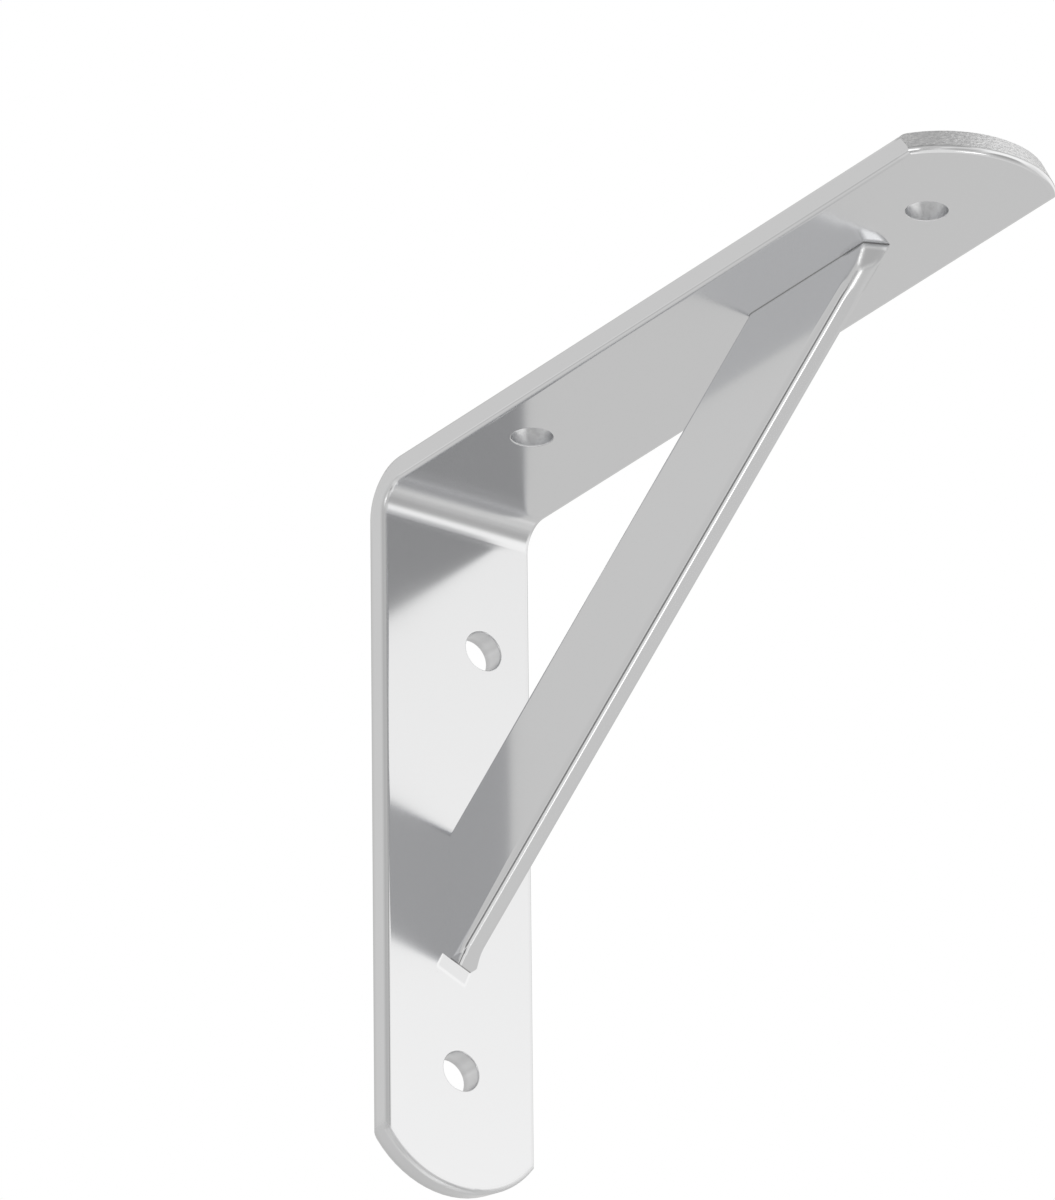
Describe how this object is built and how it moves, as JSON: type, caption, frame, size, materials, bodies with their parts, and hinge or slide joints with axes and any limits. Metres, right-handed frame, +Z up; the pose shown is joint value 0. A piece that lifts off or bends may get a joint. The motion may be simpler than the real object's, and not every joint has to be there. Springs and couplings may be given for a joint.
{
  "type": "shelf bracket",
  "caption": "Right-angle shelf bracket bent from flat bar with rounded tips, a welded diagonal strut on edge and plain screw holes, bright plated.",
  "frame": {"origin": "where the plane of the wall, the plane of the shelf's underside and the bracket's middle plane cross, at the outer corner of the bend", "axes": "+X out from the wall along the shelf arm, +Z up towards the shelf, so the upright runs down -Z; Y across the bar"},
  "size_m": [0.1627, 0.03, 0.1296],
  "materials": {
    "bright_plating": "bright plated, slightly soft mirror"
  },
  "bodies": {
    "root": {"angle_strap": "bright_plating", "diagonal_strut": "bright_plating"}
  },
  "joints": []
}
